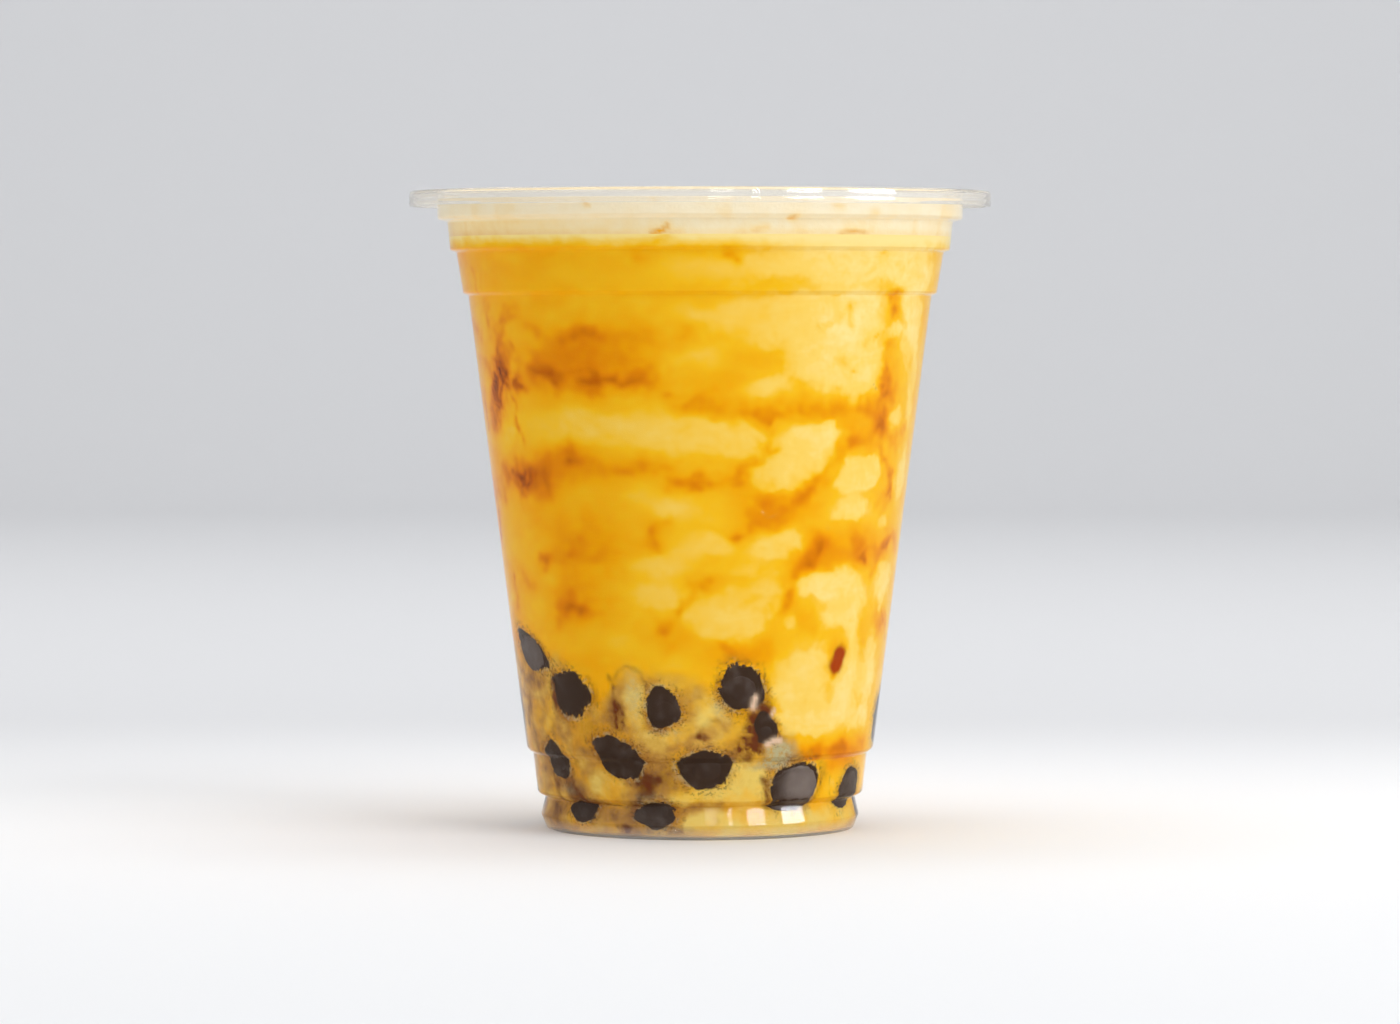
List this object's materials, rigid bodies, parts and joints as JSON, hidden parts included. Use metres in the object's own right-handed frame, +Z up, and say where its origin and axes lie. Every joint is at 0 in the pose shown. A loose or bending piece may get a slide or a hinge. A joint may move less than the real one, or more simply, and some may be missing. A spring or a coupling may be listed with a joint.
{
  "type": "bubble tea",
  "caption": "Bubble tea in a clear tapered plastic cup with stepped bands, a wide thin rim and a ring foot, filled with brown sugar milk tea under a pale milk foam.",
  "frame": {"origin": "middle of the flat ring that the cup stands on", "axes": "+Z up along the axis of the cup, -Y towards the viewer of the picture"},
  "size_m": [0.095, 0.095, 0.104],
  "materials": {
    "clear_plastic": "clear, thin, glossy",
    "milk_tea": "milky liquid, satin",
    "milk_foam": "fine foam, satin"
  },
  "bodies": {
    "root": {"cup": "clear_plastic", "milk_tea": "milk_tea", "milk_foam": "milk_foam"}
  },
  "joints": []
}
